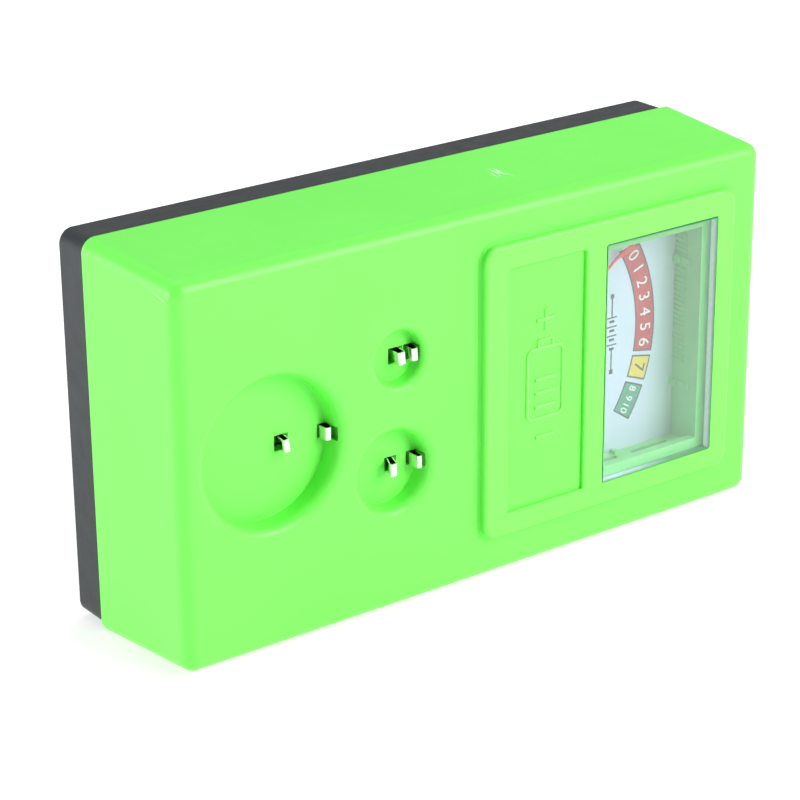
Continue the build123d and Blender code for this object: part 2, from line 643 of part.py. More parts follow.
def pivot_staffs():
    """The two steel half-staffs, each from the former to its bearing."""
    shoulder = 0.1                        # between each shoulder and its bearing
    front_y, rear_y = FRONT_JEWEL_Y[1] + shoulder, REAR_JEWEL_Y[0] - shoulder
    front = rod(*PIVOT, STAFF_R, front_y, COIL_Y[0])
    front += rod(*PIVOT, PIVOT_TIP_R, PIVOT_TIP_Y[0], front_y)
    rear = rod(*PIVOT, STAFF_R, COIL_Y[1], rear_y)
    rear += rod(*PIVOT, PIVOT_TIP_R, rear_y, PIVOT_TIP_Y[1])
    return [front, rear]


def pointer():
    """Red pointer: hub, tapered blade that dips towards the dial and lifts at its tip,
    and the tail and cross arms that carry the balance weights."""
    t = 0.25
    blade_side = FilletPolyline((1.0, 6.1), (15.0, 5.7), (22.6, 6.55), (POINTER_TIP_R, 5.6),
                                radius=4.0)
    side = trace(blade_side, t)
    blade = Pos(0, 0, -1) * extrude(side, amount=2)
    with BuildSketch(Plane.XZ) as outline:
        Polygon((0, -0.5), (22.0, -0.16), (24.0, -0.40), (POINTER_TIP_R + 0.5, -0.40),
                (POINTER_TIP_R + 0.5, 0.40), (24.0, 0.40), (22.0, 0.16), (0, 0.5), align=None)
    blade &= extrude(outline.sketch, amount=20, both=True)
    hub = Rot(90, 0, 0) * Cylinder(1.6, POINTER_HUB_Y[1] - POINTER_HUB_Y[0])
    body = blade + Pos(0, sum(POINTER_HUB_Y) / 2, 0) * hub
    w = ARM_HALF_WIDTH
    body += block(-TAIL_REACH, 0, *POINTER_ARM_Y, -w, w)
    body += block(-w, w, *POINTER_ARM_Y, -CROSS_REACH, CROSS_REACH)
    return about_pivot(body, POINTER_REST) - rod(*PIVOT, STAFF_R, 0, 30)


def balance_weights():
    """Three small nuts, one on the tail and one on each cross arm."""
    w = ARM_HALF_WIDTH
    tail = block(-TAIL_REACH - 1, 0, *POINTER_ARM_Y, -w, w)
    cross = block(-w, w, *POINTER_ARM_Y, -CROSS_REACH - 1, CROSS_REACH + 1)
    weights = []
    for u, v, r, height in BALANCE_WEIGHTS:
        nut = Pos(u, sum(POINTER_ARM_Y) / 2, v) * (Rot(90, 0, 0) * Cylinder(r, height))
        weights.append(about_pivot(nut - (cross if u == 0 else tail), POINTER_REST))
    return weights


def hairspring(y0, y1, r0, r1, end_degrees):
    """A flat spiral of thin ribbon between its collet and its outer anchor."""
    half = SPRING_HALF_THICK
    steps = int(SPRING_TURNS * 12)
    start = end_degrees - SPRING_TURNS * 360
    out, back = [], []
    for k in range(steps + 1):
        r = r0 + (r1 - r0) * k / steps
        a = start + SPRING_TURNS * 360 * k / steps
        out.append(polar(r + half, a))
        back.append(polar(r - half, a))
    with BuildSketch(face_plane(y1)) as band:
        with BuildLine():
            Spline(*out)
            Spline(*back)
            Line(out[0], back[0])
            Line(out[-1], back[-1])
        make_face()
    return extrude(band.sketch, amount=y1 - y0)


def front_hairspring():
    outer = ZERO_PIN_R - ANCHOR_R - SPRING_HALF_THICK
    return hairspring(*FRONT_SPRING_Y, SPRING_INNER_R, outer, ZERO_ARM_DEGREES)


def rear_hairspring():
    outer = REAR_ANCHOR[0] - ANCHOR_R - SPRING_HALF_THICK
    return hairspring(*REAR_SPRING_Y, SPRING_INNER_R, outer, REAR_ANCHOR[1])


def zero_adjust_arm():
    """Friction-tight arm on the front bearing that holds the front hairspring's end."""
    reach = block(0, ZERO_PIN_R + 0.64, *ZERO_ARM_Y, -0.7, 0.7)
    arm = rod(*PIVOT, 2.6, *ZERO_ARM_Y) + about_pivot(reach, ZERO_ARM_DEGREES)
    arm -= rod(*PIVOT, JEWEL_R, 0, 10)
    pin = rod(*polar(ZERO_PIN_R, ZERO_ARM_DEGREES), ANCHOR_R, ZERO_ARM_Y[0],
              FRONT_SPRING_Y[1] + 0.05)
    return arm + pin


def terminal_studs():
    inside = FRAME_BACK - FRAME_BACK_PLATE
    return [rod(x, PIVOT[1], STUD_R, inside - STUD_HEAD, STUD_BACK)
            + rod(x, PIVOT[1], STUD_HEAD_R, inside - STUD_HEAD, inside) for x in TERMINAL_X]


def terminal_nuts():
    nuts = []
    for x in TERMINAL_X:
        hexagon = face_plane(NUT_Y[1]) * (Pos(x, PIVOT[1]) * RegularPolygon(NUT_R, 6))
        nut = extrude(hexagon, amount=NUT_Y[1] - NUT_Y[0])
        nuts.append(nut - rod(x, PIVOT[1], STUD_R, 15, 30))
    return nuts


def solder_lugs():
    """A tinned ring tab under each terminal nut."""
    lugs = []
    for x in TERMINAL_X:
        lug = rod(x, PIVOT[1], LUG_R, *LUG_Y)
        lug += block(x - 1.1, x + 1.1, *LUG_Y, PIVOT[1] - LUG_REACH, PIVOT[1])
        lugs.append(lug - rod(x, PIVOT[1], STUD_R, 15, 30))
    return lugs


# ---- circuit board ------------------------------------------------------------------------
def circuit_board():
    board = slab(*BOARD, 1.0, BOARD_Y, BOARD_Y + BOARD_THICKNESS)
    for x, z in BOARD_POSTS:
        board -= rod(x, z, SMALL_SCREW_R + 0.2, 0, 20)
    return board


def board_screws():
    y = BOARD_Y + BOARD_THICKNESS
    return [pan_screw(x, z, SMALL_SCREW_R, PAN_HEAD_R, PAN_HEAD, y, 5.5, 1.0)
            for x, z in BOARD_POSTS]


def load_resistors():
    """Axial resistors lying on the back of the board."""
    y = BOARD_Y + BOARD_THICKNESS
    middle = y + RESISTOR_LIFT
    parts = []
    for x, z in RESISTORS:
        body = Pos(x, middle, z) * (Rot(0, 90, 0) * Cylinder(RESISTOR_R, RESISTOR_LENGTH))
        body = chamfer(body.edges(), 0.3)
        left, right = x - RESISTOR_SPAN, x + RESISTOR_SPAN
        path = FilletPolyline((left, y, z), (left, middle, z), (right, middle, z), (right, y, z),
                              radius=0.7)
        leads = sweep(Plane(origin=path @ 0, z_dir=path % 0) * Circle(0.3), path=path)
        parts.append(body + leads)
    return parts


def calibration_trimmer():
    """Square trimming resistor with a slotted rotor."""
    x, z = TRIMMER
    y = BOARD_Y + BOARD_THICKNESS
    half = TRIMMER_HALF
    top = y + TRIMMER_HEIGHT
    body = block(x - half, x + half, y, top, z - half, z + half)
    body = fillet(body.edges().filter_by(Axis.Y), 0.5)
    body += rod(x, z, 2.0, top, top + 0.6)
    return body - driver_slot(x, z, top + 0.2, top + 1)


def contact_leads():
    """Six insulated leads from the contact tabs to the front of the board."""
    leads = []
    for name in CONTACTS:
        x0, x1 = tab_span(name)
        x = x1 - LEAD_INSET if hinge_side(name) > 0 else x0 + LEAD_INSET
        on_tab = turned(name, Pos(x, 0, CONTACTS[name].z))
        x, z = on_tab.position.X, on_tab.position.Z
        start = (x, ARM_Y + STRIP / 2, z)
        if name in CROSSING_LEADS:
            land_x, land_z = CROSSING_LEADS[name]
            corners = [(x, LEAD_Y, z), (land_x, LEAD_Y, land_z)]
            leads.append(wire([start, *corners, (land_x, BOARD_Y, land_z)], 1.0))
        else:
            leads.append(wire([start, (x, BOARD_Y, z)], None))
    return leads


def meter_leads():
    """Two leads from the meter's lugs round its cup to the back of the board."""
    y_board = BOARD_Y + BOARD_THICKNESS
    leads = []
    for lug_x, (land_x, land_z) in zip(TERMINAL_X, METER_LANDS):
        z = PIVOT[1] - LUG_REACH + 0.9
        low = land_z - 3.0 if lug_x > PIVOT[0] else land_z
        pts = [(lug_x, LUG_Y[1], z), (lug_x, 24.6, z), (lug_x, 24.6, low), (47.0, 17.0, low),
               (land_x, 15.5, land_z), (land_x, y_board, land_z)]
        leads.append(wire(pts, 1.2))
    return leads


# ---- writing ------------------------------------------------------------------------------
def save(name, shape):
    """Writes one node, moved into the part's own frame."""
    solids = []
    for piece in (shape if isinstance(shape, list) else [shape]):
        solids += piece.solids()
    move = Location((-LENGTH / 2, -MIDDLE_DEPTH, 0))
    placed = [move * solid for solid in solids]
    whole = placed[0] if len(placed) == 1 else Compound(children=placed)
    whole.label = name
    export_step(whole, f"parts/{name}.step")


NODES = {
    "front_shell": front_shell,
    "rear_cover": rear_cover,
    "case_screws": case_screws,
    "window_pane": window_pane,
    "contact_tabs": contact_tabs,
    "dial_plate": dial_plate,
    "dial_screws": dial_screws,
    "pointer_stops": pointer_stops,
    "movement_frame": movement_frame,
    "frame_screws": frame_screws,
    "yoke_ring": yoke_ring,
    "core_magnet": core_magnet,
    "core_supports": core_supports,
    "front_bridge": front_bridge,
    "bridge_posts": bridge_posts,
    "bridge_screws": bridge_screws,
    "front_jewel_screw": front_jewel_screw,
    "rear_jewel_screw": rear_jewel_screw,
    "coil_former": coil_former,
    "moving_coil": moving_coil,
    "pivot_staffs": pivot_staffs,
    "pointer": pointer,
    "balance_weights": balance_weights,
    "front_hairspring": front_hairspring,
    "rear_hairspring": rear_hairspring,
    "zero_adjust_arm": zero_adjust_arm,
    "terminal_studs": terminal_studs,
    "terminal_nuts": terminal_nuts,
    "solder_lugs": solder_lugs,
    "circuit_board": circuit_board,
    "board_screws": board_screws,
    "load_resistors": load_resistors,
    "calibration_trimmer": calibration_trimmer,
    "contact_leads": contact_leads,
    "meter_leads": meter_leads,
}

os.makedirs("parts", exist_ok=True)
for node, make in NODES.items():
    save(node, make())
for contact_name in CONTACTS:
    save(f"{contact_name}_contact", contact(contact_name))
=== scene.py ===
"""Looks of the battery tester: materials, pane, printing, pictogram, light and camera.

Named distances are in millimetres unless they come from the frame, which is in metres.
"""
import json
import math

import bmesh
import bpy
from mathutils import Matrix, Vector

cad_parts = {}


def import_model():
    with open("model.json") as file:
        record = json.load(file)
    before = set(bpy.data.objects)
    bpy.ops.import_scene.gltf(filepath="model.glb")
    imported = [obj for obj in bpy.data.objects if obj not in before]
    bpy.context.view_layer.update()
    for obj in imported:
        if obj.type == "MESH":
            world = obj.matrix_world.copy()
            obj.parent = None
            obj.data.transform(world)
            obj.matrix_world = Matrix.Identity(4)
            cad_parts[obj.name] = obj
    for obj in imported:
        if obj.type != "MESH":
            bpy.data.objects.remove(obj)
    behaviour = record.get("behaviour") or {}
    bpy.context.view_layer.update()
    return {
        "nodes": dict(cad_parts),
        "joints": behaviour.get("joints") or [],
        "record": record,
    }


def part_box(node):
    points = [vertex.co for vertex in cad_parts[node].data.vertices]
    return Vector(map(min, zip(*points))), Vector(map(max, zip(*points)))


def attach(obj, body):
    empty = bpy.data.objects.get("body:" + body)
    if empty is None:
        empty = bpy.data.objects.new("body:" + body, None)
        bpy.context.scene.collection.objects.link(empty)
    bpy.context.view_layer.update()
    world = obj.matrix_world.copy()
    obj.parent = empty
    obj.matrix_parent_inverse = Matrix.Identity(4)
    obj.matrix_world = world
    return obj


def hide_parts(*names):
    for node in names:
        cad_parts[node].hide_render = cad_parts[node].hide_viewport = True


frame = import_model()

MM = 0.001


def metres(x, y, z):
    """Three distances in millimetres, as metres."""
    return x * MM, y * MM, z * MM


# ---- where things are, from the frame --------------------------------------------------------
SWING = next(j for j in frame["joints"] if j["name"] == "pointer_swing")
PIVOT = Vector(SWING["pos_m"])
DIAL_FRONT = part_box("dial_plate")[0].y
FACE_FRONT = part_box("front_shell")[0].y            # the bezel's front
PANE_LOW, PANE_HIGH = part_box("window_pane")
PANEL_SINK = 0.65                                  # of the label panel, below the bezel's front
PANEL_FRONT = FACE_FRONT + PANEL_SINK * MM
PANEL_CENTRE = (10.1, 30.6)                        # x and z of its middle

# ---- the printed scale, in millimetres and in degrees up from +X about the pivot -------------
SCALE_INNER, SCALE_OUTER = 23.74, 27.67
SCALE_MIDDLE = (SCALE_INNER + SCALE_OUTER) / 2
OUTLINE = 0.27
BAND_END_RADIUS = 26                               # where the outline at a band's last end is measured
INK = 0.02                                         # thickness of one printed layer
# colour: angle at the first end (inner, outer corner), angle at the last end
BANDS = {
    "red": ((32.6, 29.1), -10.5),
    "yellow": ((-11.9, -11.9), -20.55),
    "green": ((-22.2, -22.2), -34.5),
}
# first and last number on a band, and the angles that they stand at
RED_NUMBERS = (0, 6, 26.8, -7.2)
YELLOW_NUMBERS = (7, 7, -16.2, -16.2)
GREEN_NUMBERS = (8, 10, -24.2, -31.5)
NUMBER_SIZE = 3.0
SMALL_NUMBER_SIZE = 1.9
# the circuit symbol beside the scale, from the pivot
SYMBOL_X = 18.9
SYMBOL_Z = (-6.7, 5.8)
SYMBOL_CELLS = 4
SYMBOL_PITCH = 1.5
SYMBOL_LEAD = 0.13                                 # half its width
SYMBOL_SHORT_BAR = (0.5, 0.42)                     # half its width, and its thickness
SYMBOL_LONG_BAR = (1.0, 0.22)
SYMBOL_DOT = 0.36                                  # half its side

# ---- the pane, as room between it and the opening that holds it ------------------------------
PANE_INSET = 0.02                                  # room on the right, below and in front
PANE_GAP = 0.12                                    # wider room on the left and at the top left corner
PANE_DROP = 0.24                                   # and at the top right corner
PANE_BACK = 0.06                                   # and behind
PANE_CHAMFER = 0.12
PANE_RIM_FRONT, PANE_RIM_BACK = 1.3, 0.5           # how far the painted shade at the sides' rims fades

# ---- the pictogram on the label panel, from the panel's middle -------------------------------
BEAD_RADIUS = 0.3
BEAD_FLATNESS = 0.9
BATTERY_HALF = (3.4, 5.6)
BATTERY_CORNER = 1.1
CAP_HALF_WIDTH, CAP_HEIGHT = 1.4, 1.3
CHARGE_HALF_WIDTH = 1.9
CHARGE_LEVELS = {"low": -3.7, "middle": -1.5, "high": 0.7}
SIGN_HALF = 1.7
PLUS_Z, MINUS_Z = 10.1, -8.6

# ---- colours and wear ------------------------------------------------------------------------
NOISE_SPAN = (0.3, 0.7)                            # where most of a noise's values lie
GREEN = (0.184, 0.92, 0.104)
BEZEL_GREEN = (0.208, 0.93, 0.115)                 # the raised bezel is a little paler towards its front
BEZEL_RISE = 0.5                                   # the depth over which it turns paler
# the pictogram's beads are a paler green than the panel
BEAD_GREEN = (0.235, 0.94, 0.14)
TUNNEL_PAINTED_SHADE = (0.255, 0.80, 0.26)                 # painted shade and painted pane reflection make the window's tunnel duller
TUNNEL_LOW = PANE_LOW + Vector(metres(-0.6, 0.3, -0.6))
TUNNEL_HIGH = Vector((PANE_HIGH.x, DIAL_FRONT, PANE_HIGH.z)) + Vector(metres(0.6, 1.0, 0.6))
GREY = (0.034, 0.039, 0.042)
DIAL_WHITE = (0.67, 0.77, 0.90)
DIAL_PAINTED_SHADE = (0.45, 0.74, 0.61)                    # painted shade and painted green light from the tunnel's wall, at the dial's right edge
SCRATCH_GREEN = (0.78, 0.97, 0.85)
# a patch of hairline scratches on top
SCRATCH_AT, SCRATCH_REACH = (10.8, -2.6, 60.7), (1.6, 3.0, 4.0)
SCRATCH_TURN = -88.0                               # degrees about Z
SCRATCH_STRETCH = (0.5, 5.0, 1.0)
# one long scratch on the left end, near the front corner
NICK_AT, NICK_REACH = (-55.0, -10.6, 57.1), (2.0, 3.1, 0.13)
NICK_TILT = 18.0                                   # degrees about X
HAZE_CLEAR = 0.955                                 # the share of light that a scuffed pane passes
PANE_TINT = (0.93, 0.97, 0.965, 1)
PANE_SHADE = (0.50, 0.53, 0.56, 1)                 # what the pane lets through to the dial
# the pane's sawn sides: painted reflection and shade at their left and right ends, and a painted light
# that stands in for light piped to them
PANE_SIDE_PAINTED_LIGHT = {
    "right": ((0.62, 0.77, 0.76), (0.62, 0.77, 0.76), 0.36),
    "lower": ((0.62, 0.80, 0.88), (0.06, 0.34, 0.11), 0.20),
    "upper": ((0.26, 0.56, 0.32), (0.20, 0.50, 0.27), 0.28),
    "left": ((0.02, 0.12, 0.03), (0.02, 0.12, 0.03), 0.0),
}
PANE_SIDE_TURN = (0.15, 0.65)                      # where the left colour turns into the right one
PANE_RIM_SHADE = (0.06, 0.28, 0.12)                # painted shade where a sawn side meets the bezel and the ledge

# ---- light and camera, in metres, watts and degrees ------------------------------------------
MIDDLE = (0, 0, 0.03)
# where it stands, its size and its power
LAMPS = {
    "key": ((0.56, -0.92, 0.64), 0.8, 16.6),
    "side": ((-1.05, 0.46, 0.14), 0.7, 14.6),
    "top": ((0.1, 0.4, 1.1), 0.8, 2.9),
}
FLOOR_HALF = 6.0
FLOOR_GLOW = 0.60                                  # the floor is a translucent light table
WORLD_LIGHT = 0.50
DARK_SIDE = (-0.55, -0.8, 0.2)                     # the studio is dark towards the front left
DARK_SIDE_LEVEL = 0.03
DARK_SIDE_SPAN = (0.0, 0.65)                       # cosines where it starts and where it is full
CAMERA_AT = (-0.22635, -0.29590, 0.17679)
CAMERA_AZIMUTH, CAMERA_ELEVATION, CAMERA_ROLL = -36.65, 22.08, -0.458
LENS = 119.13                                      # millimetres, on a sensor 36 mm wide
SENSOR = 36


# ---- material helpers ------------------------------------------------------------------------
def scaled(colour, factor):
    return tuple(min(1.0, c * factor) for c in colour)


def set_range(node, *values):
    """Sets a Map Range node's from and to values."""
    for key, value in zip(("From Min", "From Max", "To Min", "To Max"), values):
        node.inputs[key].default_value = value


class Look:
    """A material with a Principled shader and short ways to add texture nodes."""

    def __init__(self, name):
        self.material = bpy.data.materials.new("look_" + name)
        self.material.use_nodes = True
        self.tree = self.material.node_tree
        self.tree.nodes.clear()
        self.shader = self.tree.nodes.new("ShaderNodeBsdfPrincipled")
        self.output = self.tree.nodes.new("ShaderNodeOutputMaterial")
        self.join(self.shader.outputs[0], self.output.inputs["Surface"])
        self.place = self.tree.nodes.new("ShaderNodeTexCoord").outputs["Object"]

    def join(self, source, target):
        self.tree.links.new(source, target)

    def set(self, **values):
        """Sets shader sockets by name, with _ for each space."""
        for key, value in values.items():
            self.shader.inputs[key.replace("_", " ")].default_value = value
        return self

    def placed(self, centre, scale, turn):
        """The object's place from a centre, on turned axes, in units of a scale along each."""
        node = self.tree.nodes.new("ShaderNodeMapping")
        node.vector_type = "TEXTURE"
        node.inputs["Location"].default_value = centre
        node.inputs["Rotation"].default_value = [math.radians(angle) for angle in turn]
        node.inputs["Scale"].default_value = scale
        self.join(self.place, node.inputs["Vector"])
        return node.outputs["Vector"]

    def noise(self, scale, detail=3.0, stretch=None, rough=0.5, turn=0.0):
        """Noise; stretch is how much finer it is along each axis, turned about Z by degrees."""
        node = self.tree.nodes.new("ShaderNodeTexNoise")
        node.inputs["Scale"].default_value = scale
        node.inputs["Detail"].default_value = detail
        node.inputs["Roughness"].default_value = rough
        place = self.place
        if stretch:
            place = self.placed((0, 0, 0), [1 / s for s in stretch], (0, 0, turn))
        self.join(place, node.inputs["Vector"])
        return node.outputs["Fac"]

    def parts(self, vector):
        """The X, Y and Z of a vector."""
        node = self.tree.nodes.new("ShaderNodeSeparateXYZ")
        self.join(vector, node.inputs[0])
        return tuple(node.outputs)

    def ramp(self, source, low, high, to_low, to_high):
        node = self.tree.nodes.new("ShaderNodeMapRange")
        set_range(node, low, high, to_low, to_high)
        self.join(source, node.inputs["Value"])
        return node.outputs["Result"]

    def math(self, operation, first, second):
        node = self.tree.nodes.new("ShaderNodeMath")
        node.operation = operation
        self.join(first, node.inputs[0])
        self.join(second, node.inputs[1])
        return node.outputs[0]

    def vector_math(self, operation, vector, output):
        node = self.tree.nodes.new("ShaderNodeVectorMath")
        node.operation = operation
        self.join(vector, node.inputs[0])
        return node.outputs[output]

    def blend(self, factor, first, second):
        """Mixes two colours; each is a colour or another node's output."""
        node = self.tree.nodes.new("ShaderNodeMix")
        node.data_type = "RGBA"
        self.join(factor, node.inputs["Factor"])
        for value, target in ((first, node.inputs[6]), (second, node.inputs[7])):
            if isinstance(value, tuple):
                target.default_value = (*value, 1)
            else:
                self.join(value, target)
        return node.outputs[2]

    def varied(self, noise, colour, low, high):
        """A colour times a factor that follows a noise."""
        return self.blend(self.ramp(noise, *NOISE_SPAN, 0, 1), scaled(colour, low), scaled(colour, high))

    def near(self, centre, reach, tilt=0.0):
        """1 at a point of the object, falling to 0 at the reach along each axis, tilted about X."""
        away = self.placed(metres(*centre), metres(*reach), (tilt, 0, 0))
        return self.ramp(self.vector_math("LENGTH", away, "Value"), 0.5, 1.0, 1.0, 0.0)

    def within(self, low, high):
        """1 inside a box of the object and 0 outside it."""
        away = self.placed((low + high) / 2, (high - low) / 2, (0, 0, 0))
        x, y, z = self.parts(self.vector_math("ABSOLUTE", away, "Vector"))
        widest = self.math("MAXIMUM", self.math("MAXIMUM", x, y), z)
        return self.ramp(widest, 0.99, 1.0, 1.0, 0.0)

    def colour(self, source):
        self.join(source, self.shader.inputs["Base Color"])

    def rough(self, noise, low, high):
        self.join(self.ramp(noise, *NOISE_SPAN, low, high), self.shader.inputs["Roughness"])

    def bump(self, source, height, strength=1.0):
        node = self.tree.nodes.new("ShaderNodeBump")
        node.inputs["Strength"].default_value = strength
        node.inputs["Distance"].default_value = height
        self.join(source, node.inputs["Height"])
        self.join(node.outputs[0], self.shader.inputs["Normal"])


# ---- materials -------------------------------------------------------------------------------
def plastic(name, colour, roughness, spread=0.04, grain=3500, grain_height=2e-6):
    """Moulded plastic: slight drift of colour, uneven gloss and a fine spark-eroded grain."""
    look = Look(name).set(IOR=1.49)
    look.colour(look.varied(look.noise(60, 3), colour, 1 - spread, 1 + spread))
    look.rough(look.noise(400, 4), roughness - 0.05, roughness + 0.06)
    look.bump(look.noise(grain, 2), grain_height)
    return look


def metal(name, colour, roughness, stretch=(1, 1, 1), scale=900, height=1e-6):
    """Bare metal with fine drawn or turned marks along one direction."""
    look = Look(name).set(Metallic=1.0)
    marks = look.noise(scale, 4, stretch)
    look.colour(look.varied(marks, colour, 0.88, 1.06))
    look.rough(marks, roughness - 0.06, roughness + 0.08)
    look.bump(marks, height)
    return look


def paint(name, colour, roughness=0.35):
    look = Look(name).set(IOR=1.5)
    drift = look.noise(500, 3)
    look.colour(look.varied(drift, colour, 0.96, 1.03))
    look.rough(drift, roughness - 0.04, roughness + 0.05)
    look.bump(look.noise(4000, 2), 1e-6)
    return look


def green_plastic():
    """Bright green ABS with a few pale scratches, a bezel paler towards its front, painted shade inside
    the window's tunnel and a fine moulded grain.
    """
    look = Look("green_plastic").set(IOR=1.49, Specular_IOR_Level=0.35)
    colour = look.varied(look.noise(45, 3), GREEN, 0.975, 1.025)
    hairs = look.ramp(look.noise(500, 3, SCRATCH_STRETCH, 0.6, SCRATCH_TURN), 0.55, 0.59, 0, 1)
    scratched = look.math("MULTIPLY", hairs, look.near(SCRATCH_AT, SCRATCH_REACH))
    colour = look.blend(scratched, colour, SCRATCH_GREEN)
    nick = look.ramp(look.near(NICK_AT, NICK_REACH, NICK_TILT), 0, 1, 0, 0.5)
    colour = look.blend(nick, colour, SCRATCH_GREEN)
    # painted shade and painted pane reflection inside the window's tunnel
    colour = look.blend(look.within(TUNNEL_LOW, TUNNEL_HIGH), colour, TUNNEL_PAINTED_SHADE)
    depth = look.parts(look.place)[1]
    raised = look.ramp(depth, FACE_FRONT + BEZEL_RISE * MM, FACE_FRONT, 0, 1)
    look.colour(look.blend(raised, colour, BEZEL_GREEN))
    look.rough(look.noise(300, 4), 0.32, 0.40)
    look.bump(look.noise(3800, 2), 2.5e-6, 0.7)
    return look


def grey_plastic():
    look = plastic("grey_plastic", GREY, 0.42, 0.08, 2400, 1.3e-5)
    return look.set(Specular_IOR_Level=0.2)


def clear_acrylic():
    """Clear plate that refracts, and lets lamps through to the dial behind it."""
    look = Look("clear_acrylic").set(Transmission_Weight=HAZE_CLEAR, IOR=1.49, Roughness=0.0)
    look.set(Specular_IOR_Level=0.25, Base_Color=PANE_TINT)
    path = look.tree.nodes.new("ShaderNodeLightPath")
    clear = look.tree.nodes.new("ShaderNodeBsdfTransparent")
    clear.inputs["Color"].default_value = PANE_SHADE
    mix = look.tree.nodes.new("ShaderNodeMixShader")
    look.join(path.outputs["Is Shadow Ray"], mix.inputs[0])
    look.join(look.shader.outputs[0], mix.inputs[1])
    look.join(clear.outputs[0], mix.inputs[2])
    look.join(mix.outputs[0], look.output.inputs["Surface"])
    return look


def dial_card():
    """Bluish white card, with painted shade and painted green wall light towards the tunnel's right
    wall.
    """
    look = paint("printed_dial", DIAL_WHITE, 0.45)
    across = look.parts(look.place)[0]
    # painted shade and painted green wall light towards the dial's right edge
    painted_wall_shade = look.ramp(across, PIVOT.x + SCALE_MIDDLE * MM, PANE_HIGH.x, 0, 1)
    look.colour(look.blend(painted_wall_shade, look.varied(look.noise(500, 3), DIAL_WHITE, 0.97, 1.0), DIAL_PAINTED_SHADE))
    return look


def pane_side(name):
    """One sawn side of the pane, matt from the saw, coloured with painted reflection and shade, lit by
    painted light, and with painted shade at its rims in front and behind.
    """
    left, right, painted_glow = PANE_SIDE_PAINTED_LIGHT[name]
    look = Look("pane_side_painted_" + name).set(IOR=1.49, Roughness=0.6, Emission_Strength=painted_glow)
    marks = look.noise(900, 3, (1, 1, 6))
    across, depth, _ = look.parts(look.place)
    start, end = (PANE_LOW.x + share * (PANE_HIGH.x - PANE_LOW.x) for share in PANE_SIDE_TURN)
    frost_and_painted_light = look.blend(look.ramp(across, start, end, 0, 1), look.varied(marks, left, 0.9, 1.1),
                       look.varied(marks, right, 0.9, 1.1))
    front, back = PANE_LOW.y, PANE_HIGH.y
    front_rim_shade = look.ramp(depth, front + PANE_RIM_FRONT * MM, front, 0, 0.95)
    back_rim_shade = look.ramp(depth, back - PANE_RIM_BACK * MM, back, 0, 0.97)
    frost_and_painted_light = look.blend(back_rim_shade, look.blend(front_rim_shade, frost_and_painted_light, PANE_RIM_SHADE), PANE_RIM_SHADE)
    look.colour(frost_and_painted_light)
    # the same painted colours also serve as its painted light
    look.join(frost_and_painted_light, look.shader.inputs["Emission Color"])
    look.bump(marks, 4e-6)
    return look


LOOKS = {
    "green_plastic": green_plastic(),
    "grey_plastic": grey_plastic(),
    "black_plastic": plastic("black_plastic", (0.02, 0.02, 0.021), 0.5),
    "clear_acrylic": clear_acrylic(),
    "nickel_strip": metal("nickel_strip", (0.82, 0.80, 0.76), 0.10, (1, 6, 1)),
    "printed_dial": dial_card(),
    "bright_steel": metal("bright_steel", (0.62, 0.62, 0.63), 0.3),
    "dark_steel": metal("dark_steel", (0.22, 0.22, 0.23), 0.35),
    "soft_iron": metal("soft_iron", (0.33, 0.33, 0.34), 0.45),
    "brass": metal("brass", (0.78, 0.58, 0.26), 0.28),
    "aluminium": metal("aluminium", (0.78, 0.78, 0.80), 0.3),
    "copper_wire": metal("copper_wire", (0.78, 0.36, 0.2), 0.3, (1, 12, 1), 2500, 8e-6),
    "bronze_ribbon": metal("bronze_ribbon", (0.74, 0.5, 0.3), 0.3),
    "red_paint": paint("red_paint", (1.0, 0.045, 0.018)),
    "board_laminate": plastic("board_laminate", (0.42, 0.27, 0.11), 0.4, 0.1, 1800),
    "resistor_ceramic": plastic("resistor_ceramic", (0.6, 0.5, 0.33), 0.5),
    "blue_plastic": plastic("blue_plastic", (0.05, 0.15, 0.5), 0.35),
    "black_sleeve": plastic("black_sleeve", (0.02, 0.02, 0.022), 0.4),
    "red_sleeve": plastic("red_sleeve", (0.5, 0.03, 0.025), 0.4),
}
INKS = {
    "red": paint("red_ink", (0.57, 0.028, 0.026)),
    "yellow": paint("yellow_ink", (0.86, 0.68, 0.05)),
    "green": paint("green_ink", (0.04, 0.37, 0.21)),
    "outline": paint("outline_ink", (0.045, 0.06, 0.07)),
    "white": paint("white_ink", (0.9, 0.92, 0.92)),
}
BEAD_LOOK = plastic("bead_green", BEAD_GREEN, 0.42)

for part in frame["record"]["subparts"]:
    node = frame["nodes"][part["node"]]
    for holder in node.material_slots:
        holder.material = LOOKS[part["material_slot"]].material


# ---- geometry helpers ------------------------------------------------------------------------
def add_piece(name, mesh, look, body="case"):
    piece = bpy.data.objects.new(name, mesh)
    bpy.context.scene.collection.objects.link(piece)
    mesh.materials.clear()
    mesh.materials.append(look.material)
    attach(piece, body)
    return piece


def on_dial(r, degrees):
    """A point in (x, z) metres at r millimetres from the pivot."""
    a = math.radians(degrees)
    return PIVOT.x + r * MM * math.cos(a), PIVOT.z + r * MM * math.sin(a)


def plate_mesh(name, outline, front, back, chamfer=0.0):
    """A closed flat plate from an outline of (x, z) points between two depths."""
    bm = bmesh.new()
    fore = [bm.verts.new((x, front, z)) for x, z in outline]
    aft = [bm.verts.new((x, back, z)) for x, z in outline]
    bm.faces.new(fore)
    bm.faces.new(aft[::-1])
    for i in range(len(outline)):
        j = (i + 1) % len(outline)
        bm.faces.new((fore[j], fore[i], aft[i], aft[j]))
    bmesh.ops.recalc_face_normals(bm, faces=bm.faces)
    if chamfer:
        rims = [e for e in bm.edges if len({v.co.y for v in e.verts}) == 1]
        bmesh.ops.bevel(bm, geom=rims, offset=chamfer, segments=2, profile=0.5)
    mesh = bpy.data.meshes.new(name)
    bm.to_mesh(mesh)
    bm.free()
    return mesh


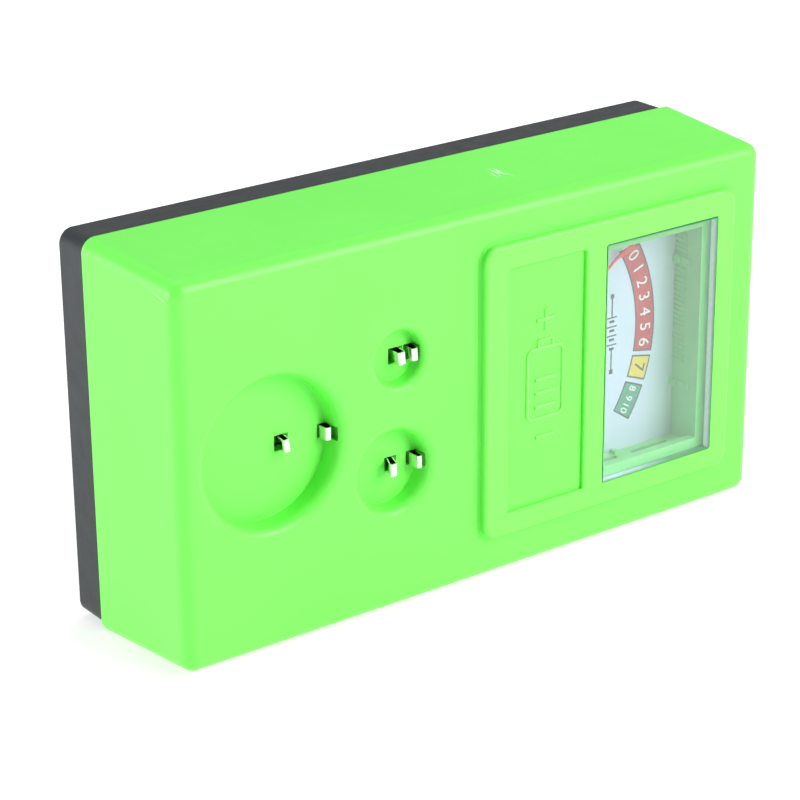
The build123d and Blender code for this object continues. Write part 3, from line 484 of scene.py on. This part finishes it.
def mesh_of(curve):
    """The mesh of a curve or a text."""
    holder = bpy.data.objects.new("holder", curve)
    bpy.context.scene.collection.objects.link(holder)
    bpy.context.view_layer.update()
    graph = bpy.context.evaluated_depsgraph_get()
    mesh = bpy.data.meshes.new_from_object(holder.evaluated_get(graph))
    bpy.data.objects.remove(holder)
    return mesh


def sector(inner, outer, first, last, steps=40):
    """Outline of a stretch of ring; first holds the angles of its inner and outer corner."""
    points = []
    for k in range(steps + 1):
        points.append(on_dial(outer, first[1] + (last - first[1]) * k / steps))
    for k in range(steps + 1):
        points.append(on_dial(inner, last + (first[0] - last) * k / steps))
    return points


def number_mesh(text, size, r, degrees, front):
    """Printed figures whose tops point away from the pivot."""
    curve = bpy.data.curves.new("figures", "FONT")
    curve.body = text
    curve.size = size * MM
    curve.align_x = "CENTER"
    curve.align_y = "CENTER"
    curve.extrude = INK * MM / 2
    mesh = mesh_of(curve)
    a = math.radians(degrees)
    x, z = on_dial(r, degrees)
    up = Vector((math.cos(a), 0, math.sin(a)))
    right = Vector((math.sin(a), 0, -math.cos(a)))
    turn = Matrix((right, up, right.cross(up))).transposed().to_4x4()
    mesh.transform(Matrix.Translation((x, front, z)) @ turn)
    return mesh


# ---- printing on the dial --------------------------------------------------------------------
def edge_angle(r):
    """How many degrees the outline's width takes at a radius."""
    return math.degrees(OUTLINE / r)


def print_bands():
    """Each band is a coloured layer on a dark one that shows as its outline."""
    inner, outer = SCALE_INNER + OUTLINE, SCALE_OUTER - OUTLINE
    for colour, (first, last) in BANDS.items():
        edge = plate_mesh(colour + "_band_outline",
                          sector(SCALE_INNER, SCALE_OUTER, first, last),
                          DIAL_FRONT - INK * MM, DIAL_FRONT)
        add_piece(colour + "_band_outline", edge, INKS["outline"])
        inside = (first[0] - edge_angle(inner), first[1] - edge_angle(outer))
        fill = plate_mesh(colour + "_band",
                          sector(inner, outer, inside, last + edge_angle(BAND_END_RADIUS)),
                          DIAL_FRONT - 2 * INK * MM, DIAL_FRONT - INK * MM)
        add_piece(colour + "_band", fill, INKS[colour])


def print_numbers(numbers, size, ink):
    """Numbers evenly spaced along one band, as a third layer of ink on its two."""
    front = DIAL_FRONT - 2.5 * INK * MM
    first, last, start, end = numbers
    for number in range(first, last + 1):
        share = (number - first) / max(1, last - first)
        mesh = number_mesh(str(number), size, SCALE_MIDDLE, start + (end - start) * share, front)
        add_piece(f"scale_number_{number}", mesh, ink)


def print_symbol():
    """The circuit symbol of a battery of four cells, long and short bars on a lead."""
    x = PIVOT.x + SYMBOL_X * MM
    low, high = (PIVOT.z + z * MM for z in SYMBOL_Z)
    front, back = DIAL_FRONT - INK * MM, DIAL_FRONT
    middle = (low + high) / 2
    pitch = SYMBOL_PITCH * MM
    span = (SYMBOL_CELLS - 0.5) * pitch / 2
    bars = [(SYMBOL_LEAD, low, middle - span), (SYMBOL_LEAD, middle + span, high)]
    for k in range(SYMBOL_CELLS):
        z = middle - span + k * pitch
        for half, thickness in (SYMBOL_SHORT_BAR, SYMBOL_LONG_BAR):
            bars.append((half, z, z + thickness * MM))
            z += pitch / 2
    for end in (low, high):
        bars.append((SYMBOL_DOT, end - SYMBOL_DOT * MM, end + SYMBOL_DOT * MM))
    for k, (half, z0, z1) in enumerate(bars):
        x0, x1 = x - half * MM, x + half * MM
        name = f"dial_symbol_{k}"
        mesh = plate_mesh(name, [(x0, z0), (x1, z0), (x1, z1), (x0, z1)], front, back)
        add_piece(name, mesh, INKS["outline"])


print_bands()
print_numbers(RED_NUMBERS, NUMBER_SIZE, INKS["white"])
print_numbers(YELLOW_NUMBERS, NUMBER_SIZE, INKS["outline"])
print_numbers(GREEN_NUMBERS, SMALL_NUMBER_SIZE, INKS["white"])
print_symbol()


# ---- the window pane -------------------------------------------------------------------------
def side_name(normal):
    if abs(normal.x) > abs(normal.z):
        return "right" if normal.x > 0 else "left"
    return "upper" if normal.z > 0 else "lower"


def window_pane():
    """The pane with polished faces and sawn sides; its top edge is cut a little out of square."""
    left, right = PANE_LOW.x + PANE_GAP * MM, PANE_HIGH.x - PANE_INSET * MM
    bottom = PANE_LOW.z + PANE_INSET * MM
    corners = [(left, bottom), (right, bottom),
               (right, PANE_HIGH.z - PANE_DROP * MM), (left, PANE_HIGH.z - PANE_GAP * MM)]
    mesh = plate_mesh("clear_pane", corners, PANE_LOW.y + PANE_INSET * MM,
                      PANE_HIGH.y - PANE_BACK * MM, PANE_CHAMFER * MM)
    piece = add_piece("clear_pane", mesh, LOOKS["clear_acrylic"])
    sides = list(PANE_SIDE_PAINTED_LIGHT)
    # the sawn sides get painted reflection, shade and light
    for side in sides:
        mesh.materials.append(pane_side(side).material)
    for face in mesh.polygons:
        if abs(face.normal.y) < 0.1:
            face.material_index = 1 + sides.index(side_name(face.normal))
    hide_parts("window_pane")


# ---- pictogram on the label panel ------------------------------------------------------------
def bead(name, points, closed=False):
    """A moulded line of round section, half sunk in the label panel; points in (x, z) mm."""
    curve = bpy.data.curves.new(name, "CURVE")
    curve.dimensions = "3D"
    curve.bevel_depth = BEAD_RADIUS * MM
    curve.bevel_resolution = 3
    curve.use_fill_caps = True
    spline = curve.splines.new("POLY")
    spline.points.add(len(points) - 1)
    spline.use_cyclic_u = closed
    for target, (x, z) in zip(spline.points, points):
        target.co = (x * MM, 0, z * MM, 1)
    mesh = mesh_of(curve)
    for vertex in mesh.vertices:
        vertex.co.y = vertex.co.y * BEAD_FLATNESS
    mesh.transform(Matrix.Translation((PANEL_CENTRE[0] * MM, PANEL_FRONT, PANEL_CENTRE[1] * MM)))
    mesh.polygons.foreach_set("use_smooth", [True] * len(mesh.polygons))
    return add_piece(name, mesh, BEAD_LOOK)


def corner(x, z, start, steps=6):
    """A rounded corner of the battery, in (x, z) points over a quarter turn."""
    points = []
    for k in range(steps + 1):
        a = math.radians(start + 90 * k / steps)
        points.append((x + BATTERY_CORNER * math.cos(a), z + BATTERY_CORNER * math.sin(a)))
    return points


def label_pictogram():
    """A battery standing on end, with three bars of charge, between a plus and a minus sign."""
    x, z = (half - BATTERY_CORNER for half in BATTERY_HALF)
    body = corner(x, z, 0) + corner(-x, z, 90) + corner(-x, -z, 180) + corner(x, -z, 270)
    bead("mark_battery_body", body, True)
    top = BATTERY_HALF[1]
    across = CAP_HALF_WIDTH
    bead("mark_battery_cap", [(-across, top), (-across, top + CAP_HEIGHT),
                              (across, top + CAP_HEIGHT), (across, top)])
    for level, height in CHARGE_LEVELS.items():
        bead("mark_charge_" + level, [(-CHARGE_HALF_WIDTH, height), (CHARGE_HALF_WIDTH, height)])
    bead("mark_plus_up", [(0, PLUS_Z - SIGN_HALF), (0, PLUS_Z + SIGN_HALF)])
    bead("mark_plus_across", [(-SIGN_HALF, PLUS_Z), (SIGN_HALF, PLUS_Z)])
    bead("mark_minus", [(-SIGN_HALF, MINUS_Z), (SIGN_HALF, MINUS_Z)])


window_pane()
label_pictogram()


# ---- floor, light and camera -----------------------------------------------------------------
def floor():
    bm = bmesh.new()
    bmesh.ops.create_grid(bm, x_segments=8, y_segments=8, size=FLOOR_HALF)
    mesh = bpy.data.meshes.new("floor")
    bm.to_mesh(mesh)
    bm.free()
    piece = bpy.data.objects.new("floor", mesh)
    bpy.context.scene.collection.objects.link(piece)
    look = Look("floor").set(Roughness=0.8, Emission_Strength=FLOOR_GLOW)
    look.set(Emission_Color=(1, 1, 1, 1))
    look.colour(look.blend(look.noise(3, 2), (0.72, 0.72, 0.72), (0.74, 0.74, 0.74)))
    mesh.materials.append(look.material)


def area_lamp(name, at, size, power):
    """A square soft box that faces the object."""
    data = bpy.data.lights.new(name, "AREA")
    data.shape = "SQUARE"
    data.size = size
    data.energy = power
    lamp = bpy.data.objects.new(name, data)
    lamp.location = at
    lamp.rotation_euler = (Vector(MIDDLE) - Vector(at)).to_track_quat("-Z", "Y").to_euler()
    bpy.context.scene.collection.objects.link(lamp)


def world():
    """Even white light, dimmed from the front left, and a white wall behind the object."""
    scene_world = bpy.data.worlds.new("studio")
    scene_world.use_nodes = True
    tree = scene_world.node_tree
    backdrop = tree.nodes["Background"]
    backdrop.inputs["Color"].default_value = (1, 1, 1, 1)
    place = tree.nodes.new("ShaderNodeTexCoord")
    towards = tree.nodes.new("ShaderNodeVectorMath")
    towards.operation = "DOT_PRODUCT"
    towards.inputs[1].default_value = Vector(DARK_SIDE).normalized()
    light = tree.nodes.new("ShaderNodeMapRange")
    light.interpolation_type = "SMOOTHSTEP"
    set_range(light, *DARK_SIDE_SPAN, WORLD_LIGHT, DARK_SIDE_LEVEL * WORLD_LIGHT)
    path = tree.nodes.new("ShaderNodeLightPath")
    wall = tree.nodes.new("ShaderNodeMath")
    wall.operation = "MAXIMUM"
    tree.links.new(place.outputs["Generated"], towards.inputs[0])
    tree.links.new(towards.outputs["Value"], light.inputs["Value"])
    tree.links.new(light.outputs["Result"], wall.inputs[0])
    tree.links.new(path.outputs["Is Camera Ray"], wall.inputs[1])
    tree.links.new(wall.outputs[0], backdrop.inputs["Strength"])
    bpy.context.scene.world = scene_world


def camera():
    data = bpy.data.cameras.new("camera")
    data.lens = LENS
    data.sensor_width = SENSOR
    data.clip_start = 0.01
    eye = bpy.data.objects.new("camera", data)
    turn = (Matrix.Rotation(math.radians(CAMERA_AZIMUTH), 4, "Z")
            @ Matrix.Rotation(math.radians(90 - CAMERA_ELEVATION), 4, "X")
            @ Matrix.Rotation(math.radians(CAMERA_ROLL), 4, "Z"))
    eye.matrix_world = Matrix.Translation(CAMERA_AT) @ turn
    bpy.context.scene.collection.objects.link(eye)
    bpy.context.scene.camera = eye


floor()
world()
camera()
for lamp_name, (lamp_at, lamp_size, lamp_power) in LAMPS.items():
    area_lamp(lamp_name, lamp_at, lamp_size, lamp_power)
bpy.context.scene.view_settings.view_transform = "Standard"
